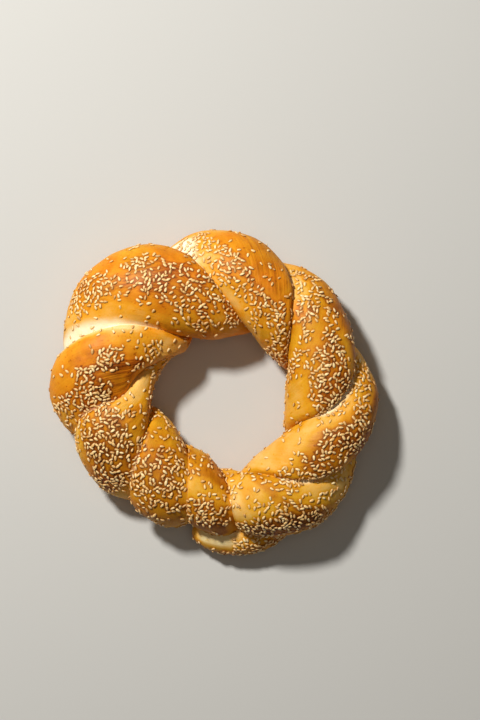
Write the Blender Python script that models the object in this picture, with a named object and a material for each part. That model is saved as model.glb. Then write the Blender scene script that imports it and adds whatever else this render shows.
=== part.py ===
"""A simit: two ropes of dough twisted round each other, closed into a ring and baked into one piece.

The ring lies on its flat underside, with +Z up and its origin on the table under the middle of its box.
Angles round the ring are counted in degrees from +X towards +Y. Angles round the rope start at its outer
side: 0 is outside, 90 is the top, 180 is the hole's side and 270 the underside. The twist runs clockwise
seen from above, so each fold starts outside the ring and ends in the hole.
"""

from math import cos, pi, radians, sin, sqrt

import bmesh
import bpy
from mathutils import Matrix, Vector

# Driving dimensions, in metres.
ROPE_SINK = 0.0035  # how far the dough has sagged into its flat underside
GROOVE_LIP = 0.0020  # how far each fold hangs over the groove at its end

# The rope at places round the ring, clockwise: the angle, its inner and outer reach from the ring's middle,
# and its height before it sagged. It is fat where the twist is loose, and thin at the joint and beside it.
ROPE_PLACES = (
    (172, 0.0358, 0.0985, 0.047),
    (150, 0.0320, 0.1003, 0.0487),
    (132, 0.0295, 0.1005, 0.050),
    (90, 0.0290, 0.0926, 0.049),
    (72, 0.0318, 0.0905, 0.0475),
    (57, 0.0345, 0.0880, 0.047),
    (30, 0.0360, 0.0873, 0.046),
    (12, 0.0375, 0.0888, 0.046),
    (-10, 0.0385, 0.0930, 0.046),
    (-47, 0.0425, 0.0960, 0.045),
    (-62, 0.0430, 0.0935, 0.0445),
    (-78, 0.0462, 0.0880, 0.043),
    (-95, 0.0383, 0.0815, 0.042),
    (-108, 0.0350, 0.0830, 0.0425),
    (-125, 0.0322, 0.0855, 0.043),
    (-152, 0.0320, 0.0890, 0.045),
)

# The grooves between the folds, clockwise. Each winds round the rope and is given by its angles round the
# ring at the first five of these angles round the rope, by its depth over the top and by its depth at the
# hole's side. The last place is the underside, halfway to where the strand comes up again. The sixth groove
# is the joint, and the twist is tighter beyond it, so that three short folds follow.
GROOVE_TURNS = (0, 45, 90, 135, 180, 270)
GROOVES = (
    (168.5, 160.5, 145.5, 132, 122, 0.95, 0.95),
    (110, 102, 91.5, 77.5, 63, 1.05, 1.05),
    (66, 56.5, 47, 33.5, 20, 1.05, 1.05),
    (21, 6.5, -8, -18, -28, 1.10, 1.10),
    (-20.5, -33, -46.5, -59.5, -75, 1.10, 1.10),
    (-79, -82.5, -83, -83, -85, 1.15, 1.15),
    (-99.5, -103, -106, -111, -118, 0.75, 0.75),
    (-126, -132, -139, -152, -165, 0.90, 0.90),
    (-160, -168.5, -173, -182, -220, 0.95, 0.25),
)
GROOVE_DEPTH = 0.27  # of the rope's radius, for a groove of depth 1
GROOVE_PINCH = 0.45  # how much deeper a groove is at the rope's outer side
EASE_FROM = 135  # the angle round the rope where a groove turns to its depth at the hole's side
STRANDS = 2
TURN = 360

# A fold's outline between its two grooves, as shares of the way from one to the other.
RISE_END = 0.55
FALL_START = 0.45
RISE_POWER = 2.1
LIP_POWER = 3

# The tapered end of the rope, tucked under the joint and showing outside the ring.
TAIL_FROM = -52
TAIL_TO = -100.5
TAIL_REACH = 0.0845  # from the ring's middle to the middle of the end
TAIL_HALF_WIDTH = 0.0115
TAIL_HALF_HEIGHT = 0.0105
TAIL_LIFT = 0.0095  # of its middle above the table
TAIL_TUCK = 0.0120  # how much nearer the ring's middle its hidden root lies
TAIL_TURN_IN = 0.0030  # how much nearer its tip lies
TAIL_FULLNESS = 0.75

# Mesh steps.
STEPS_PER_FOLD = 16
STEPS_ROUND_ROPE = 30
TAIL_STEPS = 20

CRUST_COLOUR = (0.62, 0.30, 0.07, 1)
CRUST_ROUGHNESS = 0.45


def smooth_between(knots, at):
    """A smooth curve through four knots, each a position and its value, read between the middle two."""
    (first, before), (start, leaves), (end, arrives), (last, after) = knots
    gap = end - start
    share = (at - start) / gap
    slope_out = (arrives - before) / (end - first) * gap
    slope_in = (after - leaves) / (last - start) * gap
    blend = share * share * (3 - 2 * share)
    bow = share * (1 - share) * (slope_out * (1 - share) - slope_in * share)
    return leaves + (arrives - leaves) * blend + bow


def groove(number):
    """A groove's angles and its two depths. Past the last one it goes round again."""
    rounds, place = divmod(number, len(GROOVES))
    *angles, depth, inner_depth = GROOVES[place]
    return [angle - TURN * rounds for angle in angles], depth, inner_depth


def groove_knot(number, place):
    """A place on a winding groove: its angle round the rope and its angle round the ring."""
    windings, side = divmod(place, len(GROOVE_TURNS))
    angles = groove(number + STRANDS * windings)[0]
    if side < len(angles):
        angle = angles[side]
    else:
        angle = (angles[-1] + groove(number + STRANDS * (windings + 1))[0][0]) / 2
    return TURN * windings + GROOVE_TURNS[side], angle


def groove_angle(number, round_rope):
    """The angle round the ring where a groove crosses an angle round the rope."""
    windings, turn = divmod(round_rope, TURN)
    side = max(side for side, start in enumerate(GROOVE_TURNS) if start <= turn)
    here = int(windings) * len(GROOVE_TURNS) + side
    return smooth_between([groove_knot(number, here + step) for step in (-1, 0, 1, 2)], round_rope)


def groove_depth(number, round_rope):
    """A groove's depth as a share of the rope's radius. It eases into the strand's next groove underneath."""
    _, depth, inner_depth = groove(number)
    if round_rope < 180:
        share = max(0.0, (round_rope - EASE_FROM) / (180 - EASE_FROM))
        goal = inner_depth
    else:
        depth = inner_depth
        share = round_rope / 180 - 1
        goal = groove(number + STRANDS)[1]
    depth += (goal - depth) * share * share * (3 - 2 * share)
    pinch = GROOVE_PINCH * max(0.0, cos(radians(round_rope)))
    return GROOVE_DEPTH * depth * (1 + pinch)


def rope_place(number):
    """A place's angle and its sizes. Past the last one it goes round again."""
    rounds, place = divmod(number, len(ROPE_PLACES))
    angle, *sizes = ROPE_PLACES[place]
    return angle - TURN * rounds, sizes


def rope_at(angle):
    """The rope's middle radius, half width and half height at an angle round the ring."""
    first = ROPE_PLACES[0][0]
    angle = first - (first - angle) % TURN
    here = max(number for number in range(len(ROPE_PLACES)) if ROPE_PLACES[number][0] >= angle)
    near = [rope_place(here + step) for step in (-1, 0, 1, 2)]
    inner, outer, height = (
        smooth_between([(place, sizes[which]) for place, sizes in near], angle) for which in range(3)
    )
    return (inner + outer) / 2, (outer - inner) / 2, height / 2


def fold_height(share, start_depth, end_depth):
    """A fold's height as a share of the rope's radius: a slow rise from a groove and a round fall."""
    height = 1.0
    if share < RISE_END:
        height -= start_depth * (1 - share / RISE_END) ** RISE_POWER
    if share > FALL_START:
        fall = (share - FALL_START) / (1 - FALL_START)
        height -= end_depth * (1 - sqrt(max(0.0, 1 - fall * fall)))
    return height


def lip_share(share):
    """How much of the lip a point has: most a little before the fold's end, and none in the groove."""
    fall = max(0.0, (share - FALL_START) / (1 - FALL_START))
    return sin(pi * fall**LIP_POWER)


def surface_point(fold, share, round_rope):
    """The point of the ring at a share of the way across a fold, at an angle round the rope."""
    start, end = groove_angle(fold, round_rope), groove_angle(fold + 1, round_rope)
    angle = start + (end - start) * share
    outwards, upwards = cos(radians(round_rope)), sin(radians(round_rope))
    height = fold_height(share, groove_depth(fold, round_rope), groove_depth(fold + 1, round_rope))
    middle, half_width, half_height = rope_at(angle)
    reach = middle + half_width * height * outwards
    angle = radians(angle) - GROOVE_LIP * lip_share(share) / reach
    level = half_height * (1 + height * upwards) - ROPE_SINK
    return Vector((reach * cos(angle), reach * sin(angle), level))


def make_ring():
    """The twisted ring's closed mesh. Its lines follow the strands, so the grooves fall on edges."""
    bm = bmesh.new()
    lines = len(GROOVES) * STEPS_PER_FOLD
    rows = []
    for line in range(lines):
        fold, step = divmod(line, STEPS_PER_FOLD)
        turns = [TURN * turn / STEPS_ROUND_ROPE for turn in range(STEPS_ROUND_ROPE)]
        rows.append([bm.verts.new(surface_point(fold, step / STEPS_PER_FOLD, turn)) for turn in turns])
    # A line that has wound once round the rope goes on as the line of the same strand's next fold.
    shift = STRANDS * STEPS_PER_FOLD
    for line in range(lines):
        here = rows[line] + rows[(line + shift) % lines][:1]
        beside = rows[(line + 1) % lines] + rows[(line + 1 + shift) % lines][:1]
        for turn in range(STEPS_ROUND_ROPE):
            bm.faces.new((here[turn], beside[turn], beside[turn + 1], here[turn + 1]))
    bmesh.ops.recalc_face_normals(bm, faces=bm.faces)
    return bm


def make_tail():
    """The rope's end: a long rounded taper, bent round the ring."""
    bm = bmesh.new()
    lengthwise = Matrix.Rotation(pi / 2, 4, "Y")
    bmesh.ops.create_uvsphere(bm, u_segments=TAIL_STEPS, v_segments=TAIL_STEPS, radius=1, matrix=lengthwise)
    for vert in bm.verts:
        along, across, up = vert.co
        girth = max(1e-6, 1 - along * along) ** ((TAIL_FULLNESS - 1) / 2)
        bend = TAIL_TURN_IN if along > 0 else TAIL_TUCK
        reach = TAIL_REACH - bend * along * along - TAIL_HALF_WIDTH * across * girth
        angle = radians((TAIL_FROM + TAIL_TO) / 2 - (TAIL_FROM - TAIL_TO) / 2 * along)
        level = TAIL_LIFT + TAIL_HALF_HEIGHT * up * girth
        vert.co = (reach * cos(angle), reach * sin(angle), level)
    bmesh.ops.recalc_face_normals(bm, faces=bm.faces)
    return bm


def make_table_cutter():
    """A block whose top is the table, which cuts the flat underside."""
    side = 3 * TAIL_REACH
    depth = 4 * ROPE_SINK
    placed = Matrix.Translation((0, 0, -depth / 2)) @ Matrix.Diagonal((side, side, depth, 1))
    bm = bmesh.new()
    bmesh.ops.create_cube(bm, size=1, matrix=placed)
    return bm


def add_object(name, bm, helper=False):
    mesh = bpy.data.meshes.new(name)
    bm.to_mesh(mesh)
    bm.free()
    obj = bpy.data.objects.new(name, mesh)
    bpy.context.scene.collection.objects.link(obj)
    if helper:
        obj.hide_render = True
        obj.display_type = "WIRE"
    return obj


def add_boolean(obj, other, operation):
    modifier = obj.modifiers.new(f"{operation.lower()} {other.name}", "BOOLEAN")
    modifier.operation = operation
    modifier.object = other
    modifier.solver = "EXACT"


def crust_material():
    material = bpy.data.materials.new("crust")
    material.use_nodes = True
    shader = material.node_tree.nodes["Principled BSDF"]
    shader.inputs["Base Color"].default_value = CRUST_COLOUR
    shader.inputs["Roughness"].default_value = CRUST_ROUGHNESS
    shader.inputs["Metallic"].default_value = 0
    return material


def middle_on_table(obj):
    """The middle of the finished object's box, dropped to the table."""
    bpy.context.view_layer.update()
    evaluated = obj.evaluated_get(bpy.context.evaluated_depsgraph_get())
    corners = [Vector(corner) for corner in evaluated.bound_box]
    middle = sum(corners, Vector()) / len(corners)
    return Vector((middle.x, middle.y, 0))


def main():
    for obj in list(bpy.data.objects):
        bpy.data.objects.remove(obj)
    bread = add_object("bread", make_ring())
    tail = add_object("tail_end", make_tail(), helper=True)
    table = add_object("table_cutter", make_table_cutter(), helper=True)
    add_boolean(bread, tail, "UNION")
    add_boolean(bread, table, "DIFFERENCE")
    bread.data.materials.append(crust_material())
    bread.data.shade_smooth()
    middle = middle_on_table(bread)
    for obj in (bread, tail, table):
        obj.location = -middle
    bpy.context.view_layer.update()


main()
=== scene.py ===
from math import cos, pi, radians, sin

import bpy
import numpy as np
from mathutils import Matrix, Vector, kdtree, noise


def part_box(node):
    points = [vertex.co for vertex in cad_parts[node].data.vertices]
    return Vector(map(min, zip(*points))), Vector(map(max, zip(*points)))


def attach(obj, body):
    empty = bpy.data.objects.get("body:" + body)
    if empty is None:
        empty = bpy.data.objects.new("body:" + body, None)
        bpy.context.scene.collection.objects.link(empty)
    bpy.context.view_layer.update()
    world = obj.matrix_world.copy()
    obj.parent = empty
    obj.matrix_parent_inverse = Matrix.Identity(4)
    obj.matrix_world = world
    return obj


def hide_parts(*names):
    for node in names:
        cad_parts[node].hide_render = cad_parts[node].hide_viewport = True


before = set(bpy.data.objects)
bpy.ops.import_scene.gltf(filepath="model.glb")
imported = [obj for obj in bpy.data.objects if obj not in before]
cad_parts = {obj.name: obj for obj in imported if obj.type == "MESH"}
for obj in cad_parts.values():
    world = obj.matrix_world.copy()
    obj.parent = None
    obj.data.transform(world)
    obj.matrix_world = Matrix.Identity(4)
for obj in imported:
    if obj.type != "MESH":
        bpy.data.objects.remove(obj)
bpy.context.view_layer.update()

# A simit: one long strand of dough twisted on itself, closed into a ring, washed, rolled in hulled sesame
# and baked. Angles round the ring are in degrees from +X towards +Y. Turns round the rope start at its outer
# side: 0 is outside, 90 the top, 180 the hole's side and 270 the underside. A place on the crust is a fold, a
# share of the way across that fold (0 in the groove where it starts, 1 in the groove it ends in) and a turn.

# The rope of dough and its twist, as the solid has them.
ROPE_SINK = 0.0035
GROOVE_LIP = 0.0020
ROPE_PLACES = (
    (172, 0.0358, 0.0985, 0.047),
    (150, 0.0320, 0.1003, 0.0487),
    (132, 0.0295, 0.1005, 0.050),
    (90, 0.0290, 0.0926, 0.049),
    (72, 0.0318, 0.0905, 0.0475),
    (57, 0.0345, 0.0880, 0.047),
    (30, 0.0360, 0.0873, 0.046),
    (12, 0.0375, 0.0888, 0.046),
    (-10, 0.0385, 0.0930, 0.046),
    (-47, 0.0425, 0.0960, 0.045),
    (-62, 0.0430, 0.0935, 0.0445),
    (-78, 0.0462, 0.0880, 0.043),
    (-95, 0.0383, 0.0815, 0.042),
    (-108, 0.0350, 0.0830, 0.0425),
    (-125, 0.0322, 0.0855, 0.043),
    (-152, 0.0320, 0.0890, 0.045),
)
GROOVE_TURNS = (0, 45, 90, 135, 180, 270)
GROOVES = (
    (168.5, 160.5, 145.5, 132, 122, 0.95, 0.95),
    (110, 102, 91.5, 77.5, 63, 1.05, 1.05),
    (66, 56.5, 47, 33.5, 20, 1.05, 1.05),
    (21, 6.5, -8, -18, -28, 1.10, 1.10),
    (-20.5, -33, -46.5, -59.5, -75, 1.10, 1.10),
    (-79, -82.5, -83, -83, -85, 1.15, 1.15),
    (-99.5, -103, -106, -111, -118, 0.75, 0.75),
    (-126, -132, -139, -152, -165, 0.90, 0.90),
    (-160, -168.5, -173, -182, -220, 0.95, 0.25),
)
GROOVE_DEPTH = 0.27
GROOVE_PINCH = 0.45
EASE_FROM = 135
STRANDS = 2
TURN = 360
RISE_END = 0.55
FALL_START = 0.45
RISE_POWER = 2.1
LIP_POWER = 3
TAIL_FROM = -52
TAIL_TO = -100.5
TAIL_REACH = 0.0845
TAIL_HALF_WIDTH = 0.0115
TAIL_HALF_HEIGHT = 0.0105
TAIL_LIFT = 0.0095
TAIL_TUCK = 0.0120
TAIL_TURN_IN = 0.0030
TAIL_FULLNESS = 0.75

# How finely the crust is laid out.
STEPS_PER_FOLD = 60
STEPS_OVER_TOP = 112  # from the rope's outer side over the top to the hole's side
STEPS_BELOW = 26
STEPS_UP_SIDE = 14
STEPS_TO_GROOVE = 0.085  # how strongly the steps crowd towards the grooves
TAIL_STEPS = 56
TAIL_STEPS_ROUND = 64
TRAY_EDGE = 0.0010  # how softly the flat underside turns up into the sides
UNDERSIDE_TURN = 250  # where a place on the underside starts to count as the strand's next fold

# The crust's own unevenness, in metres.
LUMP = 0.00075
LUMP_SIZE = 0.017
DENT = 0.00022
DENT_SIZE = 0.0055
STRETCH_LINE = 0.00011
STRAND_GIRTH = 0.140
FOLD_WIDTH = 0.045

# How brown each part of a fold is, from 0 for raw cream to 1 for dark: a part by its shares and turns, and
# how much it is browner or paler than the rest.
BASE_BAKE = 0.50
CREST_BAKE = 0.12
SIDE_BAKE = -0.06
TRAY_BAKE = 0.30
BAKED_PARTS = (
    (0, 0.00, 0.24, 0, 120, -0.10),
    (0, 0.35, 1.00, -20, 42, 0.07),
    (0, 0.55, 1.00, 38, 100, 0.08),
    (0, 0.30, 1.00, 125, 175, -0.08),
    (0, 0.40, 1.00, 60, 170, 0.02),
    (1, 0.42, 1.00, 10, 88, 0.06),
    (1, 0.05, 0.50, 100, 180, -0.12),
    (1, 0.00, 0.30, 0, 60, -0.18),
    (1, 0.00, 0.18, 45, 120, -0.17),
    (1, 0.78, 1.00, 95, 150, 0.09),
    (1, 0.30, 1.00, -30, 10, -0.06),
    (2, 0.00, 0.16, 10, 70, -0.24),
    (2, 0.00, 0.12, 88, 140, 0.14),
    (2, 0.30, 0.98, 5, 45, 0.16),
    (2, 0.20, 0.60, 58, 84, 0.06),
    (2, 0.45, 0.90, 125, 180, -0.07),
    (2, 0.60, 1.00, 60, 110, 0.10),
    (3, 0.00, 0.22, 0, 130, -0.18),
    (3, 0.20, 0.90, 112, 180, -0.22),
    (3, 0.40, 1.00, -5, 40, 0.24),
    (3, 0.30, 0.90, 45, 105, 0.11),
    (4, 0.00, 0.22, 15, 80, -0.12),
    (4, 0.45, 1.00, 72, 150, -0.17),
    (4, 0.00, 0.35, 20, 130, -0.10),
    (4, 0.30, 0.90, 20, 60, 0.22),
    (4, 0.78, 1.00, 60, 140, -0.14),
    (4, 0.10, 0.45, 60, 110, 0.03),
    (4, 0.00, 0.35, 100, 160, 0.10),
    (5, 0.00, 1.00, 118, 170, 0.13),
    (5, 0.00, 1.00, 84, 118, -0.11),
    (5, 0.20, 0.90, 15, 45, 0.22),
    (5, 0.05, 0.95, 42, 90, 0.07),
    (6, 0.55, 1.00, 110, 160, 0.06),
    (6, 0.10, 0.90, 5, 45, 0.18),
    (6, 0.05, 0.95, 45, 105, 0.09),
    (7, 0.45, 0.95, 100, 160, -0.05),
    (7, 0.20, 0.70, 0, 38, 0.14),
    (7, 0.10, 1.00, 40, 100, 0.17),
    (7, 0.75, 1.00, 20, 100, -0.16),
    (7, 0.70, 1.00, 104, 160, -0.18),
    (7, 0.45, 0.75, 98, 132, 0.08),
    (8, 0.00, 0.50, 84, 132, 0.20),
    (8, 0.00, 0.24, 50, 96, 0.10),
    (8, 0.70, 1.00, 20, 130, -0.05),
    (8, 0.87, 1.00, -10, 112, -0.30),
    (8, 0.20, 0.90, 135, 180, -0.20),
    (8, 0.25, 0.90, -10, 86, 0.09),
)

# How much of each fold is orange rather than golden.
ORANGE = (0.64, 0.66, 0.42, 0.28, 0.10, 0.14, 0.08, 0.20, 0.82)
LOW_ORANGE = 0.35
TAIL_ORANGE = 0.25

# Where a fold pulled away from its neighbour in the oven and left a cream stripe: turns round the rope, and
# the share that the stripe reaches there.
STRETCH_STRIPES = (
    (0, ((-62, -0.04), (-30, 0.05), (5, 0.125), (45, 0.12), (68, 0.085), (88, 0.045), (125, 0.025), (145, -0.03))),
    (1, ((-48, -0.04), (-18, 0.07), (8, 0.19), (18, 0.195), (38, 0.10), (56, 0.02), (72, -0.03))),
    (2, ((-60, -0.03), (0, 0.02), (40, 0.03), (70, -0.03))),
    (3, ((-40, -0.01), (10, 0.06), (60, 0.065), (100, 0.05), (130, -0.03))),
    (4, ((-40, -0.03), (10, 0.00), (65, 0.02), (82, 0.05), (108, 0.045), (128, -0.03))),
    (6, ((20, -0.03), (60, 0.01), (100, 0.01), (140, -0.03))),
    (7, ((20, -0.03), (60, 0.02), (100, 0.035), (140, 0.02), (170, -0.03))),
    (8, ((-10, -0.02), (40, 0.015), (90, 0.015), (120, -0.03))),
)

# Where the strand's skin was drawn out in lines as it was twisted.
DRAWN_LEAST = 0.22
DRAWN_PARTS = (
    (0, 0.60, 1.00, 70, 150, 0.45),
    (1, 0.48, 1.00, 15, 88, 0.75),
    (2, 0.25, 0.70, 15, 55, 0.4),
    (7, 0.50, 0.85, 100, 130, 0.6),
    (8, 0.02, 0.52, 88, 132, 0.9),
)

# How thickly the sesame lies, in grains on each square centimetre.
FEW_GRAINS = (0.6, 0.5, 0.9, 0.8, 1.7, 1.5, 1.6, 1.3, 0.5)
GRAIN_PARTS = (
    (0, 0.20, 0.46, 15, 62, 12),
    (0, 0.10, 0.18, 28, 45, 6),
    (0, 0.54, 0.74, 44, 64, 10),
    (0, 0.38, 1.00, 64, 150, 7.5),
    (0, 0.25, 0.50, 66, 110, 3),
    (1, 0.02, 0.30, 5, 50, 11),
    (1, 0.08, 0.46, 48, 92, 12),
    (1, 0.18, 0.60, 88, 106, 10),
    (1, 0.48, 1.00, 90, 116, 12),
    (1, 0.64, 1.00, 112, 178, 11),
    (1, 0.30, 0.60, 110, 140, 4),
    (2, 0.07, 0.30, 12, 78, 11),
    (2, 0.05, 0.30, 70, 98, 11),
    (2, 0.32, 0.52, 36, 56, 8),
    (2, 0.25, 0.50, 58, 82, 4),
    (2, 0.42, 1.00, 60, 116, 14),
    (2, 0.15, 0.45, 98, 150, 8),
    (3, 0.00, 0.30, 5, 62, 9),
    (3, 0.05, 0.18, 66, 90, 8),
    (3, 0.28, 0.78, 40, 95, 12),
    (3, 0.80, 1.00, 55, 125, 9),
    (3, 0.55, 0.80, 95, 125, 5),
    (4, 0.02, 0.32, 84, 106, 10),
    (4, 0.18, 0.46, 36, 66, 12),
    (4, 0.38, 0.97, 22, 64, 11),
    (4, 0.56, 0.72, 86, 98, 8),
    (4, 0.00, 0.20, -20, 12, 6),
    (4, 0.25, 0.55, -5, 25, 7),
    (4, 0.30, 0.60, 60, 90, 5),
    (5, 0.05, 0.95, 44, 84, 12),
    (5, 0.25, 0.65, 88, 112, 7),
    (6, 0.08, 0.88, 54, 100, 12),
    (6, 0.03, 0.72, 95, 132, 8),
    (6, 0.90, 1.00, 76, 112, 8),
    (7, 0.48, 1.00, 44, 106, 15),
    (7, 0.18, 0.60, 38, 102, 9),
    (7, 0.08, 0.42, 12, 60, 13),
    (7, 0.00, 0.12, 58, 116, 14),
    (7, 0.78, 0.96, 8, 40, 8),
    (7, 0.50, 0.76, 100, 128, 5),
    (8, 0.26, 0.50, 62, 86, 17),
    (8, 0.40, 0.68, 87, 107, 13),
    (8, 0.00, 0.26, 56, 102, 16),
    (8, 0.08, 0.36, 12, 56, 10),
    (8, 0.28, 0.80, 127, 140, 10),
    (8, 0.86, 0.97, 86, 112, 4),
)

# One grain of sesame, in metres.
GRAIN_LENGTH = 0.00285
GRAIN_WIDTH = 0.0017
GRAIN_THICKNESS = 0.0010
GRAIN_RINGS = 5
GRAIN_SIDES = 8
GRAIN_SPACING = 0.00172
GRAIN_LIMIT = 3100
GRAIN_PLENTY = 1.45  # for the grains that find no room
CLUMP_SIZE = 0.007
WASH_AND_SHADE_FROM = 0.0010  # the browned wash and the painted shade round a grain: full this near its middle
WASH_AND_SHADE_TO = 0.0023  # and gone this far from it
CROWD_REACH = 0.0052
CROWD_FULL = 9


def smooth_between(knots, at):
    """A smooth curve through four knots, each a position and its value, read between the middle two."""
    (first, before), (start, leaves), (end, arrives), (last, after) = knots
    gap = end - start
    share = (at - start) / gap
    slope_out = (arrives - before) / (end - first) * gap
    slope_in = (after - leaves) / (last - start) * gap
    blend = share * share * (3 - 2 * share)
    bow = share * (1 - share) * (slope_out * (1 - share) - slope_in * share)
    return leaves + (arrives - leaves) * blend + bow


def groove(number):
    """A groove's angles and its two depths. Past the last one it goes round again."""
    rounds, place = divmod(number, len(GROOVES))
    *angles, depth, inner_depth = GROOVES[place]
    return [angle - TURN * rounds for angle in angles], depth, inner_depth


def groove_knot(number, place):
    """A place on a winding groove: its turn round the rope and its angle round the ring."""
    windings, side = divmod(place, len(GROOVE_TURNS))
    angles = groove(number + STRANDS * windings)[0]
    if side < len(angles):
        angle = angles[side]
    else:
        angle = (angles[-1] + groove(number + STRANDS * (windings + 1))[0][0]) / 2
    return TURN * windings + GROOVE_TURNS[side], angle


def groove_angle(number, turn):
    """The angle round the ring where a groove crosses a turn round the rope."""
    windings, rest = divmod(turn, TURN)
    side = max(side for side, start in enumerate(GROOVE_TURNS) if start <= rest)
    here = int(windings) * len(GROOVE_TURNS) + side
    return smooth_between([groove_knot(number, here + step) for step in (-1, 0, 1, 2)], turn)


def groove_depth(number, turn):
    """A groove's depth as a share of the rope's radius. Underneath, it eases into the strand's next groove."""
    _, depth, inner_depth = groove(number)
    if turn < 180:
        share = max(0.0, (turn - EASE_FROM) / (180 - EASE_FROM))
        goal = inner_depth
    else:
        depth = inner_depth
        share = turn / 180 - 1
        goal = groove(number + STRANDS)[1]
    depth += (goal - depth) * share * share * (3 - 2 * share)
    return GROOVE_DEPTH * depth * (1 + GROOVE_PINCH * max(0.0, cos(radians(turn))))


def rope_place(number):
    rounds, place = divmod(number, len(ROPE_PLACES))
    angle, *sizes = ROPE_PLACES[place]
    return angle - TURN * rounds, sizes


def rope_at(angle):
    """The rope's middle radius, half width and half height at an angle round the ring."""
    first = ROPE_PLACES[0][0]
    angle = first - (first - angle) % TURN
    here = max(number for number in range(len(ROPE_PLACES)) if ROPE_PLACES[number][0] >= angle)
    near = [rope_place(here + step) for step in (-1, 0, 1, 2)]
    inner, outer, height = (
        smooth_between([(place, sizes[which]) for place, sizes in near], angle) for which in range(3)
    )
    return (inner + outer) / 2, (outer - inner) / 2, height / 2


def rope_sizes(angles):
    """The rope's three sizes at many angles at once."""
    stations = np.arange(0.0, TURN, 0.5)
    table = np.array([rope_at(station) for station in stations])
    return [np.interp(angles, stations, table[:, which], period=TURN) for which in range(3)]


def fold_points(fold, shares, turns):
    """The points of one fold, for shares across it by turns round the rope."""
    starts = np.array([groove_angle(fold, turn) for turn in turns])
    ends = np.array([groove_angle(fold + 1, turn) for turn in turns])
    start_depths = np.array([groove_depth(fold, turn) for turn in turns])
    end_depths = np.array([groove_depth(fold + 1, turn) for turn in turns])
    share = shares[:, None]
    fall = np.clip((share - FALL_START) / (1 - FALL_START), 0, 1)
    angle = starts + (ends - starts) * share
    height = 1 - start_depths * np.clip(1 - share / RISE_END, 0, 1) ** RISE_POWER
    height = height - end_depths * (1 - np.sqrt(1 - fall * fall))
    middle, half_width, half_height = rope_sizes(angle)
    outwards, upwards = np.cos(np.radians(turns)), np.sin(np.radians(turns))
    reach = middle + half_width * height * outwards
    angle = np.radians(angle) - GROOVE_LIP * np.sin(pi * fall**LIP_POWER) / reach
    level = half_height * (1 + height * upwards) - ROPE_SINK
    return np.stack([reach * np.cos(angle), reach * np.sin(angle), level], axis=-1)


def laid_on_tray(points):
    """The points with everything under the tray flattened onto it."""
    level = points[..., 2]
    rounded = (np.clip(level, -TRAY_EDGE, TRAY_EDGE) + TRAY_EDGE) ** 2 / (4 * TRAY_EDGE)
    points[..., 2] = np.where(level > TRAY_EDGE, level, rounded)
    return points


def share_steps():
    steps = np.arange(STEPS_PER_FOLD + 1) / STEPS_PER_FOLD
    return steps - STEPS_TO_GROOVE * np.sin(2 * pi * steps)


def turn_steps():
    over_top = np.linspace(0, 205, STEPS_OVER_TOP, endpoint=False)
    below = np.linspace(205, 335, STEPS_BELOW, endpoint=False)
    up_side = np.linspace(335, 360, STEPS_UP_SIDE + 1)
    return np.concatenate([over_top, below, up_side])


def eased(value):
    value = np.clip(value, 0, 1)
    return value * value * (3 - 2 * value)


def part_cover(share, turn, edges, soft_share=0.10, soft_turn=14.0):
    """How much a place lies inside a part of a fold, from 0 to 1. A part that starts or ends in a groove has
    a sharp edge there."""
    share_from, share_to, turn_from, turn_to = edges
    cover = eased((turn - turn_from) / soft_turn + 0.5) * eased((turn_to - turn) / soft_turn + 0.5)
    if share_from > 0:
        cover = cover * eased((share - share_from) / soft_share + 0.5)
    if share_to < 1:
        cover = cover * eased((share_to - share) / soft_share + 0.5)
    return cover


def bake_level(fold, share, turn):
    """How brown the crust is at many places."""
    upwards = np.sin(np.radians(turn))
    crest = np.sin(pi * np.clip(share, 0, 1)) ** 0.8 * np.clip(upwards, 0, 1)
    side = eased((30 - turn) / 40) * eased((turn + 60) / 30) + eased((turn - 155) / 30)
    tray = eased((-turn - 35) / 30) + eased((turn - 215) / 25)
    level = BASE_BAKE + CREST_BAKE * crest + SIDE_BAKE * side + TRAY_BAKE * np.clip(tray, 0, 1)
    for which, *edges, more in BAKED_PARTS:
        level = level + np.where(fold == which, more * part_cover(share, turn, edges), 0)
    return np.clip(level, 0.05, 0.98)


def stripe_level(fold, share, turn):
    """How far a place lies inside a cream stripe: over 0.5 is inside, and 0.1 more is about half a
    millimetre."""
    level = np.full(np.shape(share), -1.0)
    for which, knots in STRETCH_STRIPES:
        reach = np.interp(turn, [knot[0] for knot in knots], [knot[1] for knot in knots])
        level = np.where(fold == which, 0.5 + 9 * (reach - share), level)
    return np.clip(level, -1, 2)


def grain_level(fold, share, turn):
    """How many grains of sesame lie on a square centimetre at many places."""
    few = np.array(FEW_GRAINS)[fold] * eased((turn + 35) / 30) * eased((205 - turn) / 30)
    level = few
    for which, *edges, many in GRAIN_PARTS:
        cover = part_cover(share, turn, edges, 0.05, 7.0)
        level = np.maximum(level, np.where(fold == which, many * cover, 0))
    return level


def orange_level(fold, turn):
    """How orange the crust is. It is more so low on the sides, where the wash ran down."""
    low = eased((5 - turn) / 35) + eased((turn - 175) / 35)
    return np.array(ORANGE)[fold] + LOW_ORANGE * low


def drawn_level(fold, share, turn):
    """How strongly the skin shows the lines along which it was drawn out."""
    level = np.full(np.shape(share), DRAWN_LEAST)
    for which, *edges, much in DRAWN_PARTS:
        level = np.maximum(level, np.where(fold == which, much * part_cover(share, turn, edges), 0))
    return level


def strand_place(fold, share, turn):
    """Metres along the strand and across the fold. The strand passes through every second fold."""
    winding = np.where(fold % STRANDS == 0, fold // STRANDS, (fold + len(GROOVES)) // STRANDS)
    return (winding + turn / TURN) * STRAND_GIRTH, share * FOLD_WIDTH


def same_place_above(fold, turn):
    """A place low on the outer side, counted as part of the strand's next fold."""
    beyond = turn > UNDERSIDE_TURN
    return np.where(beyond, (fold + STRANDS) % len(GROOVES), fold), np.where(beyond, turn - TURN, turn)


def uneven(point):
    """How far the dough stands proud or hollow at a point."""
    lump = noise.noise(point / LUMP_SIZE) * LUMP
    dent = noise.noise(point / DENT_SIZE + Vector((7, 3, 5))) * DENT
    return lump + dent


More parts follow.
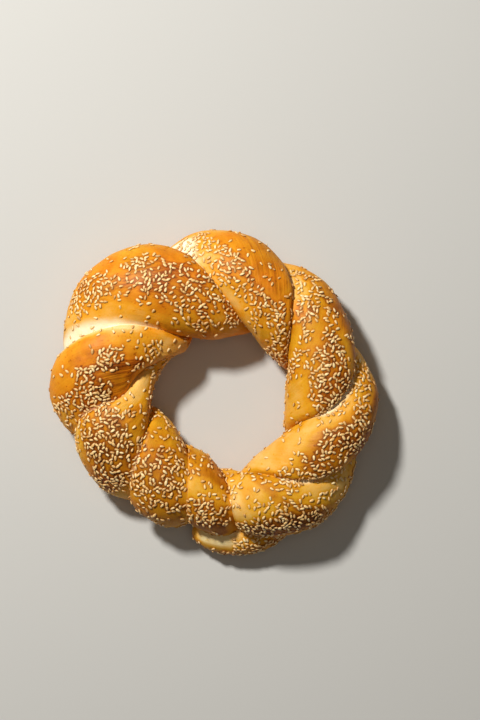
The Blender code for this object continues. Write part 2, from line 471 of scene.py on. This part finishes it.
def stretch_line(along, across):
    """The low ridges where the strand's skin was drawn out as it was twisted."""
    place = Vector((along / 0.030, across / 0.0026, 11.0))
    return noise.noise(place) * STRETCH_LINE


def mesh_of(name, points, faces):
    mesh = bpy.data.meshes.new(name)
    mesh.from_pydata(points, [], faces)
    mesh.validate()
    mesh.update()
    return mesh


def write_values(mesh, name, values, kind="FLOAT"):
    """Values at the corners of the faces, so that they may change at a groove without a blur."""
    layer = mesh.attributes.new(name, kind, "CORNER")
    layer.data.foreach_set("value" if kind == "FLOAT" else "vector", np.ascontiguousarray(values, "f").ravel())


def add_piece(name, mesh, material):
    piece = bpy.data.objects.new(name, mesh)
    bpy.context.scene.collection.objects.link(piece)
    mesh.materials.append(material)
    mesh.shade_smooth()
    return piece


def roughen(mesh, along, across, fade):
    """Moves each point of a mesh along its normal by the dough's unevenness."""
    points = np.empty(len(mesh.vertices) * 3)
    mesh.vertices.foreach_get("co", points)
    points = points.reshape(-1, 3)
    normals = np.empty(len(mesh.vertices) * 3, "f")
    mesh.vertices.foreach_get("normal", normals)
    normals = normals.reshape(-1, 3)
    rise = np.array([
        uneven(Vector(point)) + stretch_line(there, beside) * share
        for point, there, beside, share in zip(points, along, across, fade)
    ])
    rise *= eased(points[:, 2] / 0.004)
    points += normals * rise[:, None]
    mesh.vertices.foreach_set("co", points.ravel())
    mesh.update()


def make_ring(middle):
    """The twisted ring's mesh, with its bake, stripes, grains and strand places at the corners."""
    shares, turns = share_steps(), turn_steps()
    rows = np.concatenate([fold_points(fold, shares[:-1], turns[:-1]) for fold in range(len(GROOVES))])
    lines, round_steps = rows.shape[:2]
    points = laid_on_tray(rows).reshape(-1, 3) - middle
    line, turn = np.meshgrid(np.arange(lines), np.arange(round_steps), indexing="ij")
    line, turn = line.ravel(), turn.ravel()
    next_turn = (turn + 1) % round_steps
    shift = np.where(turn + 1 == round_steps, STRANDS * STEPS_PER_FOLD, 0)
    beside = (line + 1) % lines
    corners = np.stack([
        line * round_steps + turn,
        (line + shift) % lines * round_steps + next_turn,
        (beside + shift) % lines * round_steps + next_turn,
        beside * round_steps + turn,
    ], axis=1)
    mesh = mesh_of("ring", points, corners.tolist())
    fold, step = np.divmod(line, STEPS_PER_FOLD)
    fold = np.repeat(fold[:, None], 4, axis=1)
    share = shares[np.stack([step, step, step + 1, step + 1], axis=1)]
    round_rope = turns[np.stack([turn, turn + 1, turn + 1, turn], axis=1)]
    fold, round_rope = same_place_above(fold, round_rope)
    along, across = strand_place(fold, share, round_rope)
    write_values(mesh, "bake", bake_level(fold, share, round_rope))
    write_values(mesh, "stripe", stripe_level(fold, share, round_rope))
    write_values(mesh, "grains", grain_level(fold, share, round_rope))
    write_values(mesh, "orange", orange_level(fold, round_rope))
    write_values(mesh, "drawn", drawn_level(fold, share, round_rope))
    write_values(mesh, "strand", np.stack([along, across, 0.03 * fold], axis=-1), "FLOAT_VECTOR")
    first_along, first_across = along[:, 0], across[:, 0]
    fade = np.sin(pi * np.clip(share[:, 0], 0, 1)) ** 0.5 * np.clip(np.sin(np.radians(round_rope[:, 0])) + 0.5, 0, 1)
    roughen(mesh, first_along, first_across, fade)
    return mesh


def make_tail(middle):
    """The rope's end: a long rounded taper, bent round the ring."""
    steps = np.arange(1, TAIL_STEPS)[:, None] * pi / TAIL_STEPS
    around = np.arange(TAIL_STEPS_ROUND) * 2 * pi / TAIL_STEPS_ROUND
    along = -np.cos(steps) + 0 * around
    girth = np.sin(steps) ** TAIL_FULLNESS
    bend = np.where(along > 0, TAIL_TURN_IN, TAIL_TUCK)
    reach = TAIL_REACH - bend * along * along - TAIL_HALF_WIDTH * np.cos(around) * girth
    angle = np.radians((TAIL_FROM + TAIL_TO) / 2 - (TAIL_FROM - TAIL_TO) / 2 * along)
    level = TAIL_LIFT + TAIL_HALF_HEIGHT * np.sin(around) * girth
    points = np.stack([reach * np.cos(angle), reach * np.sin(angle), level], axis=-1).reshape(-1, 3)
    tips = []
    for end, bend in ((-1, TAIL_TUCK), (1, TAIL_TURN_IN)):
        angle = radians((TAIL_FROM + TAIL_TO) / 2 - (TAIL_FROM - TAIL_TO) / 2 * end)
        tips.append(((TAIL_REACH - bend) * cos(angle), (TAIL_REACH - bend) * sin(angle), TAIL_LIFT))
    points = laid_on_tray(np.concatenate([points, tips])) - middle
    rings = TAIL_STEPS - 1
    root, tip = rings * TAIL_STEPS_ROUND, rings * TAIL_STEPS_ROUND + 1
    faces = []
    for side in range(TAIL_STEPS_ROUND):
        other = (side + 1) % TAIL_STEPS_ROUND
        faces.append((root, side, other))
        for ring in range(rings - 1):
            here, there = ring * TAIL_STEPS_ROUND, (ring + 1) * TAIL_STEPS_ROUND
            faces.append((here + other, here + side, there + side, there + other))
        last = (rings - 1) * TAIL_STEPS_ROUND
        faces.append((tip, last + other, last + side))
    mesh = mesh_of("tail", points, faces)
    corner = np.empty(len(mesh.loops), "i")
    mesh.loops.foreach_get("vertex_index", corner)
    place = np.concatenate([(along).ravel(), [-1, 1]])[corner]
    across = np.concatenate([(np.cos(around) + 0 * steps).ravel(), [0, 0]])[corner]
    up = np.concatenate([(np.sin(around) + 0 * steps).ravel(), [0, 0]])[corner]
    top = eased((up + 0.2) / 0.5)
    cream = eased((place - 0.05) / 0.32) * eased((1.00 - place) / 0.2) * eased((across + 0.80) / 0.35) * top
    bake = 0.42 - 0.40 * cream + 0.14 * eased((-0.35 - across) / 0.4) + 0.12 * eased((place - 0.8) / 0.15)
    bake += 0.25 * eased((-up - 0.55) / 0.3)
    grains = 10 * eased((0.40 - place) / 0.25) * eased((place + 0.8) / 0.3) * eased((0.05 - across) / 0.4) * top
    grains = np.maximum(grains, 5 * eased((-0.6 - across) / 0.3) * eased((up + 0.4) / 0.3))
    write_values(mesh, "bake", bake)
    write_values(mesh, "stripe", np.full(len(corner), -1.0))
    write_values(mesh, "grains", grains)
    write_values(mesh, "orange", np.full(len(corner), TAIL_ORANGE))
    write_values(mesh, "drawn", np.full(len(corner), DRAWN_LEAST))
    strand = np.stack([0.035 * place, 0.012 * np.arctan2(up, across), 0 * up], axis=-1)
    write_values(mesh, "strand", strand, "FLOAT_VECTOR")
    count = len(mesh.vertices)
    roughen(mesh, np.zeros(count), np.zeros(count), np.zeros(count))
    return mesh


def dough_middle():
    """The middle of the whole loaf's box in the ring's own frame, on the table."""
    shares, turns = share_steps(), turn_steps()
    ring = np.concatenate([fold_points(fold, shares, turns).reshape(-1, 3) for fold in range(len(GROOVES))])
    steps = np.linspace(-1, 1, 81)
    bend = np.where(steps > 0, TAIL_TURN_IN, TAIL_TUCK)
    girth = (1 - steps * steps) ** (TAIL_FULLNESS / 2)
    reach = TAIL_REACH - bend * steps * steps + TAIL_HALF_WIDTH * girth
    angle = np.radians((TAIL_FROM + TAIL_TO) / 2 - (TAIL_FROM - TAIL_TO) / 2 * steps)
    tail = np.stack([reach * np.cos(angle), reach * np.sin(angle), 0 * reach], axis=-1)
    every = np.concatenate([ring, tail])
    low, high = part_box("bread")
    middle = (every.min(axis=0) + every.max(axis=0)) / 2
    return np.array([middle[0] - (low[0] + high[0]) / 2, middle[1] - (low[1] + high[1]) / 2, 0.0])


def grain_shape():
    """One hulled grain: a flat drop, pointed at one end. It gives points, faces, how near each point is to the
    pointed end, and how near it is to the lower edge that sits in the wash, which is painted darker both for the
    wash stain and as painted shade on the grain's underside."""
    points, faces, ends, stained_shaded_rims = [(-0.5, 0, 0)], [], [0.0], [1.0]
    for ring in range(1, GRAIN_RINGS):
        share = ring / GRAIN_RINGS
        along = -0.5 * cos(pi * share)
        fat = sin(pi * share) ** 0.85 * (1 - 0.42 * eased(share)) * 1.12
        for side in range(GRAIN_SIDES):
            turn = 2 * pi * side / GRAIN_SIDES
            points.append((along, 0.5 * fat * cos(turn), 0.5 * fat * sin(turn)))
            ends.append(share)
            stained_shaded_rims.append(min(1.0, 1 - sin(turn)))
    points.append((0.5, 0, 0))
    ends.append(1.0)
    stained_shaded_rims.append(1.0)
    last = len(points) - 1
    for side in range(GRAIN_SIDES):
        other = (side + 1) % GRAIN_SIDES
        faces.append((0, 1 + other, 1 + side))
        for ring in range(GRAIN_RINGS - 2):
            here, there = 1 + ring * GRAIN_SIDES, 1 + (ring + 1) * GRAIN_SIDES
            faces.append((here + side, here + other, there + other, there + side))
        before = 1 + (GRAIN_RINGS - 2) * GRAIN_SIDES
        faces.append((last, before + side, before + other))
    return np.array(points), faces, np.array(ends), np.array(stained_shaded_rims)


def scatter_places(meshes):
    """Places for the grains on the crust, each a point and the crust's normal there."""
    chance = np.random.default_rng(41)
    points, normals, weights = [], [], []
    for mesh in meshes:
        mesh.calc_loop_triangles()
        count = len(mesh.loop_triangles)
        triangles = np.empty(count * 3, "i")
        mesh.loop_triangles.foreach_get("vertices", triangles)
        loops = np.empty(count * 3, "i")
        mesh.loop_triangles.foreach_get("loops", loops)
        spots = np.empty(len(mesh.vertices) * 3, "f")
        mesh.vertices.foreach_get("co", spots)
        facing = np.empty(len(mesh.vertices) * 3, "f")
        mesh.vertices.foreach_get("normal", facing)
        grains = np.empty(len(mesh.loops), "f")
        mesh.attributes["grains"].data.foreach_get("value", grains)
        triangles = triangles.reshape(-1, 3)
        corners = spots.reshape(-1, 3)[triangles]
        area = np.linalg.norm(np.cross(corners[:, 1] - corners[:, 0], corners[:, 2] - corners[:, 0]), axis=1) / 2
        points.append(corners)
        normals.append(facing.reshape(-1, 3)[triangles])
        weights.append(area * 1e4 * grains[loops].reshape(-1, 3).mean(axis=1))
    points, normals, weights = np.concatenate(points), np.concatenate(normals), np.concatenate(weights)
    middles = points.mean(axis=1)
    clumps = np.array([noise.noise(Vector(spot) / CLUMP_SIZE + Vector((2, 9, 4))) for spot in middles])
    weights = weights * np.clip(1 + 0.9 * clumps, 0.3, 2)
    weights[middles[:, 2] < 0.003] = 0
    wanted = min(GRAIN_LIMIT, int(GRAIN_PLENTY * weights.sum()))
    picks = chance.choice(len(weights), size=4 * wanted, p=weights / weights.sum())
    placed, taken = [], {}
    for pick in picks:
        first, second = chance.random(2)
        if first + second > 1:
            first, second = 1 - first, 1 - second
        mix = np.array([1 - first - second, first, second])
        spot, facing = mix @ points[pick], mix @ normals[pick]
        cell = tuple(np.floor(spot / GRAIN_SPACING).astype(int))
        near = [
            other
            for x in (-1, 0, 1)
            for y in (-1, 0, 1)
            for z in (-1, 0, 1)
            for other in taken.get((cell[0] + x, cell[1] + y, cell[2] + z), ())
        ]
        if any(np.linalg.norm(spot - other) < GRAIN_SPACING for other in near):
            continue
        taken.setdefault(cell, []).append(spot)
        placed.append((spot, facing / np.linalg.norm(facing)))
        if len(placed) == wanted:
            break
    return placed


def mark_wash_and_shade_round_grains(meshes, places):
    """Writes how near each point of the crust is to a grain, because the wash pools and browns there, and because
    the crust there is painted darker to stand for the grains' shade, as painted shade. It does so most where the
    grains lie close together."""
    tree = kdtree.KDTree(len(places))
    for index, (spot, _) in enumerate(places):
        tree.insert(spot, index)
    tree.balance()
    crowds = [min(1.0, len(tree.find_range(spot, CROWD_REACH)) / CROWD_FULL) for spot, _ in places]
    for mesh in meshes:
        found = [tree.find(vert.co) for vert in mesh.vertices]
        gaps = np.array([gap for _, _, gap in found])
        crowd = np.array([crowds[index] for _, index, _ in found])
        near = crowd * eased(1 - (gaps - WASH_AND_SHADE_FROM) / (WASH_AND_SHADE_TO - WASH_AND_SHADE_FROM))
        # Painted shade round the grains, together with the browned wash there.
        layer = mesh.attributes.new("pooled_wash_and_shade", "FLOAT", "POINT")
        layer.data.foreach_set("value", near.astype("f"))


def make_sesame(places):
    """All the grains in one mesh. Each lies flat on the crust, turned at random and a little tilted, with its
    lower third sunk into the glaze."""
    chance = np.random.default_rng(43)
    shape, faces, ends, stained_shaded_rims = grain_shape()
    points, every_face, tones, tips, edges = [], [], [], [], []
    for spot, facing in places:
        size = chance.normal(1, 0.09)
        scale = np.array([GRAIN_LENGTH * chance.normal(1, 0.06), GRAIN_WIDTH, GRAIN_THICKNESS]) * size
        up = Vector(facing)
        spin = Matrix.Rotation(chance.uniform(0, 2 * pi), 3, "Z")
        tilt = Matrix.Rotation(chance.normal(0, 0.16), 3, "X") @ Matrix.Rotation(chance.normal(0, 0.14), 3, "Y")
        turned = np.array(up.to_track_quat("Z", "Y").to_matrix() @ spin @ tilt)
        lift = scale[2] * (0.20 + 0.10 * chance.random())
        start = len(points) * len(shape)
        points.append((shape * scale) @ turned.T + spot + facing * lift)
        every_face += [tuple(start + corner for corner in face) for face in faces]
        tones.append(np.full(len(shape), chance.random()))
        tips.append(ends)
        edges.append(stained_shaded_rims)
    mesh = mesh_of("sesame", np.concatenate(points), every_face)
    # The grains' lower edges carry painted shade as well as the wash stain.
    for name, values in (("tone", tones), ("tip", tips), ("stained_shaded_rim", edges)):
        layer = mesh.attributes.new(name, "FLOAT", "POINT")
        layer.data.foreach_set("value", np.concatenate(values).astype("f"))
    return mesh


# Materials.


class Nodes:
    """Adds nodes to a material or a group, and joins them."""

    def __init__(self, tree):
        self.tree = tree

    def add(self, kind, **settings):
        node = self.tree.nodes.new(kind)
        for name, value in settings.items():
            setattr(node, name, value)
        return node

    def join(self, source, target):
        self.tree.links.new(source, target)

    def fill(self, socket, value):
        if hasattr(value, "is_output"):
            self.join(value, socket)
        elif value is not None:
            socket.default_value = value

    def math(self, operation, first, second=None, clamp=False):
        node = self.add("ShaderNodeMath", operation=operation, use_clamp=clamp)
        self.fill(node.inputs[0], first)
        self.fill(node.inputs[1], second)
        return node.outputs[0]

    def between(self, value, low, high, to_low=0.0, to_high=1.0, smooth=False):
        node = self.add("ShaderNodeMapRange", interpolation_type="SMOOTHSTEP" if smooth else "LINEAR")
        for place, number in enumerate((value, low, high, to_low, to_high)):
            self.fill(node.inputs[place], number)
        return node.outputs[0]

    def mix(self, share, first, second, blend="MIX"):
        node = self.add("ShaderNodeMix", data_type="RGBA", blend_type=blend)
        self.fill(node.inputs[0], share)
        self.fill(node.inputs[6], first)
        self.fill(node.inputs[7], second)
        return node.outputs[2]

    def mottle(self, place, scale, detail=3.0, roughness=0.55):
        node = self.add("ShaderNodeTexNoise")
        self.join(place, node.inputs["Vector"])
        node.inputs["Scale"].default_value = scale
        node.inputs["Detail"].default_value = detail
        node.inputs["Roughness"].default_value = roughness
        return node.outputs["Fac"]

    def value_of(self, name, output="Fac"):
        return self.add("ShaderNodeAttribute", attribute_name=name).outputs[output]

    def ramp(self, value, stops):
        node = self.add("ShaderNodeValToRGB")
        self.fill(node.inputs[0], value)
        elements = node.color_ramp.elements
        while len(elements) < len(stops):
            elements.new(0.5)
        for element, (place, colour) in zip(elements, stops):
            element.position = place
            element.color = (*colour, 1)
        return node.outputs[0]


def new_group(name, inputs, outputs):
    tree = bpy.data.node_groups.new(name, "ShaderNodeTree")
    for label, kind, value in inputs:
        socket = tree.interface.new_socket(label, in_out="INPUT", socket_type=kind)
        if value is not None:
            socket.default_value = value
    for label, kind in outputs:
        tree.interface.new_socket(label, in_out="OUTPUT", socket_type=kind)
    nodes = Nodes(tree)
    return tree, nodes, nodes.add("NodeGroupInput").outputs, nodes.add("NodeGroupOutput").inputs


def skin_grain_group():
    """The fine uneven skin of baked dough and of grains: a blotch value, and a height for the bump."""
    tree, nodes, given, out = new_group(
        "skin grain",
        (
            ("Blotch size", "NodeSocketFloat", 120.0),
            ("Grain size", "NodeSocketFloat", 900.0),
            ("Grain share", "NodeSocketFloat", 0.5),
        ),
        (("Blotch", "NodeSocketFloat"), ("Height", "NodeSocketFloat")),
    )
    place = nodes.add("ShaderNodeTexCoord").outputs["Object"]
    blotch = nodes.mottle(place, 1.0, 4.0)
    grain = nodes.mottle(place, 1.0, 3.0)
    nodes.join(given["Blotch size"], blotch.node.inputs["Scale"])
    nodes.join(given["Grain size"], grain.node.inputs["Scale"])
    height = nodes.math("MULTIPLY", grain, given["Grain share"])
    nodes.join(blotch, out["Blotch"])
    nodes.join(nodes.math("ADD", blotch, height), out["Height"])
    return tree


def start_material(name):
    material = bpy.data.materials.new(name)
    material.use_nodes = True
    return Nodes(material.node_tree), material.node_tree.nodes["Principled BSDF"], material


def place_group(nodes, tree, **values):
    node = nodes.add("ShaderNodeGroup", node_tree=tree)
    for name, value in values.items():
        node.inputs[name.replace("_", " ")].default_value = value
    return node.outputs


def add_bump(nodes, shader, height, distance, strength=1.0):
    bump = nodes.add("ShaderNodeBump")
    bump.inputs["Strength"].default_value = strength
    bump.inputs["Distance"].default_value = distance
    nodes.join(height, bump.inputs["Height"])
    nodes.join(bump.outputs[0], shader.inputs["Normal"])


def crust_material(skin_grain):
    """The washed and baked crust: cream where it stretched, gold on the sides and brown on the crests."""
    nodes, shader, material = start_material("crust")
    skin = place_group(nodes, skin_grain, Blotch_size=130.0, Grain_size=1100.0, Grain_share=0.35)
    strand = nodes.value_of("strand", "Vector")
    lines_at = nodes.add("ShaderNodeMapping")
    lines_at.inputs["Scale"].default_value = (75, 760, 1000)
    nodes.join(strand, lines_at.inputs["Vector"])
    lines = nodes.mottle(lines_at.outputs[0], 1.0, 3.0, 0.6)
    place = nodes.add("ShaderNodeTexCoord").outputs["Object"]
    clouds = nodes.mottle(place, 45.0, 3.0)
    bake = nodes.value_of("bake")
    browned = nodes.between(bake, 0.45, 0.75, smooth=True)
    level = nodes.math("ADD", bake, nodes.between(clouds, 0.3, 0.7, -0.075, 0.075))
    level = nodes.math("ADD", level, nodes.between(skin["Blotch"], 0.3, 0.7, -0.065, 0.065))
    specks = nodes.between(nodes.mottle(place, 420.0, 2.0, 0.5), 0.62, 0.76, 0.0, 0.17, smooth=True)
    level = nodes.math("ADD", level, specks)
    drawn = nodes.value_of("drawn")
    streaks = nodes.math("MULTIPLY", nodes.between(lines, 0.3, 0.7, -0.12, 0.12), drawn)
    level = nodes.math("ADD", level, streaks)
    # Painted shade round and between the grains, mixed with the browned wash that pools there: it darkens the crust.
    pooled_wash_and_shade = nodes.value_of("pooled_wash_and_shade")
    level = nodes.math("ADD", level, nodes.math("MULTIPLY", pooled_wash_and_shade, 0.22))
    golden = nodes.ramp(level, (
        (0.00, (0.88, 0.72, 0.38)),
        (0.28, (0.80, 0.475, 0.120)),
        (0.50, (0.70, 0.345, 0.014)),
        (0.68, (0.55, 0.215, 0.004)),
        (0.85, (0.30, 0.088, 0.002)),
        (1.00, (0.12, 0.028, 0.001)),
    ))
    orange = nodes.ramp(level, (
        (0.00, (0.93, 0.74, 0.40)),
        (0.28, (0.86, 0.46, 0.112)),
        (0.50, (0.81, 0.315, 0.012)),
        (0.68, (0.66, 0.20, 0.004)),
        (0.85, (0.37, 0.080, 0.002)),
        (1.00, (0.14, 0.028, 0.001)),
    ))
    patches = nodes.between(nodes.mottle(place, 48.0, 4.0, 0.6), 0.3, 0.7, -0.5, 0.5)
    patches = nodes.math("ADD", nodes.value_of("orange"), patches, clamp=True)
    colour = nodes.mix(patches, golden, orange)
    edge = nodes.math("ADD", nodes.value_of("stripe"), nodes.between(skin["Blotch"], 0.2, 0.8, -0.20, 0.20))
    stripe = nodes.between(edge, 0.15, 0.95, smooth=True)
    cream = nodes.mix(nodes.between(skin["Blotch"], 0.35, 0.7), (0.95, 0.88, 0.68, 1), (0.90, 0.76, 0.48, 1))
    nodes.join(nodes.mix(stripe, colour, cream), shader.inputs["Base Color"])
    gloss = nodes.between(skin["Blotch"], 0.25, 0.75, 0.46, 0.56)
    nodes.join(nodes.math("ADD", gloss, nodes.math("MULTIPLY", stripe, 0.25)), shader.inputs["Roughness"])
    shader.inputs["Specular IOR Level"].default_value = 0.16
    shader.inputs["Coat Roughness"].default_value = 0.35
    nodes.join(nodes.math("MULTIPLY", browned, 0.04), shader.inputs["Coat Weight"])
    shader.inputs["Subsurface Weight"].default_value = 0.08
    shader.inputs["Subsurface Radius"].default_value = (1.0, 0.45, 0.15)
    shader.inputs["Subsurface Scale"].default_value = 0.0025
    raised = nodes.math("ADD", skin["Height"], nodes.math("MULTIPLY", lines, nodes.math("MULTIPLY", drawn, 2.2)))
    add_bump(nodes, shader, raised, 0.00028)
    return material


def sesame_material(skin_grain):
    """Hulled sesame: cream, a little browned at the pointed end, each grain its own tone, and darker round its lower
    edge for the wash stain and as painted shade.
    """
    nodes, shader, material = start_material("sesame")
    skin = place_group(nodes, skin_grain, Blotch_size=700.0, Grain_size=2600.0, Grain_share=0.4)
    tone = nodes.value_of("tone")
    body = nodes.ramp(tone, (
        (0.00, (0.62, 0.34, 0.11)),
        (0.25, (0.82, 0.52, 0.20)),
        (0.70, (0.92, 0.63, 0.28)),
        (1.00, (0.97, 0.76, 0.41)),
    ))
    toast_and_shade = nodes.math("MULTIPLY", nodes.between(nodes.value_of("tip"), 0.55, 1.0, smooth=True), 0.45)
    toast_and_shade = nodes.math("ADD", toast_and_shade, nodes.between(skin["Blotch"], 0.4, 0.8, 0.0, 0.2))
    # Painted shade on each grain's lower side, together with the wash stain there.
    toast_and_shade = nodes.math("ADD", toast_and_shade, nodes.between(nodes.value_of("stained_shaded_rim"), 0.4, 1.0, 0.0, 0.74), clamp=True)
    nodes.join(nodes.mix(toast_and_shade, body, (0.42, 0.17, 0.035, 1)), shader.inputs["Base Color"])
    nodes.join(nodes.between(skin["Blotch"], 0.3, 0.7, 0.30, 0.42), shader.inputs["Roughness"])
    shader.inputs["Specular IOR Level"].default_value = 0.45
    shader.inputs["Subsurface Weight"].default_value = 0.10
    shader.inputs["Subsurface Radius"].default_value = (1.0, 0.6, 0.3)
    shader.inputs["Subsurface Scale"].default_value = 0.0008
    add_bump(nodes, shader, skin["Height"], 0.00006)
    return material


def floor_material():
    nodes, shader, material = start_material("pale floor")
    shader.inputs["Base Color"].default_value = (0.555, 0.555, 0.55, 1)
    shader.inputs["Roughness"].default_value = 0.8
    return material


# The studio.

FLOOR_HALF = 3.0
LOOK_AT = (0.0151, 0.0188)  # beside the ring's middle, because the ring stands low and left in the frame
CAMERA_HEIGHT = 1.30
CAMERA_TARGET_LEVEL = 0.022
FRAME_HEIGHT = 0.411


def add_floor():
    mesh = mesh_of("floor", [
        (-FLOOR_HALF, -FLOOR_HALF, 0), (FLOOR_HALF, -FLOOR_HALF, 0), (FLOOR_HALF, FLOOR_HALF, 0), (-FLOOR_HALF, FLOOR_HALF, 0)
    ], [(0, 1, 2, 3)])
    floor = add_piece("floor", mesh, floor_material())


def add_light(name, place, look_at, size, watts, colour):
    data = bpy.data.lights.new(name, "AREA")
    data.shape = "DISK"
    data.size = size
    data.energy = watts
    data.color = colour
    light = bpy.data.objects.new(name, data)
    light.location = place
    light.rotation_euler = (Vector(look_at) - Vector(place)).to_track_quat("-Z", "Y").to_euler()
    bpy.context.scene.collection.objects.link(light)


def add_studio():
    add_floor()
    add_light("key", (-0.54, 0.70, 1.06), (0, 0, 0), 0.18, 23.5, (1.0, 0.97, 0.90))
    add_light("fill", (0.1, -0.1, 1.4), (0, 0, 0), 1.0, 1.4, (1.0, 0.94, 0.82))
    world = bpy.data.worlds.new("studio")
    world.use_nodes = True
    background = world.node_tree.nodes["Background"]
    background.inputs["Color"].default_value = (1.0, 0.92, 0.80, 1)
    background.inputs["Strength"].default_value = 0.085
    bpy.context.scene.world = world
    bpy.context.scene.view_settings.view_transform = "Standard"


def add_camera():
    data = bpy.data.cameras.new("camera")
    data.sensor_fit = "VERTICAL"
    data.sensor_height = 24.0
    distance = CAMERA_HEIGHT - CAMERA_TARGET_LEVEL
    data.lens = data.sensor_height * distance / FRAME_HEIGHT
    camera = bpy.data.objects.new("camera", data)
    camera.location = (*LOOK_AT, CAMERA_HEIGHT)
    bpy.context.scene.collection.objects.link(camera)
    bpy.context.scene.camera = camera


def main():
    middle = dough_middle()
    skin_grain = skin_grain_group()
    crust = crust_material(skin_grain)
    ring = add_piece("ring", make_ring(middle), crust)
    tail = add_piece("tail", make_tail(middle), crust)
    places = scatter_places([ring.data, tail.data])
    mark_wash_and_shade_round_grains([ring.data, tail.data], places)
    sesame = add_piece("sesame", make_sesame(places), sesame_material(skin_grain))
    for piece in (ring, tail, sesame):
        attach(piece, "root")
    for piece in (ring, tail):
        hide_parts("bread")
    add_studio()
    add_camera()


main()
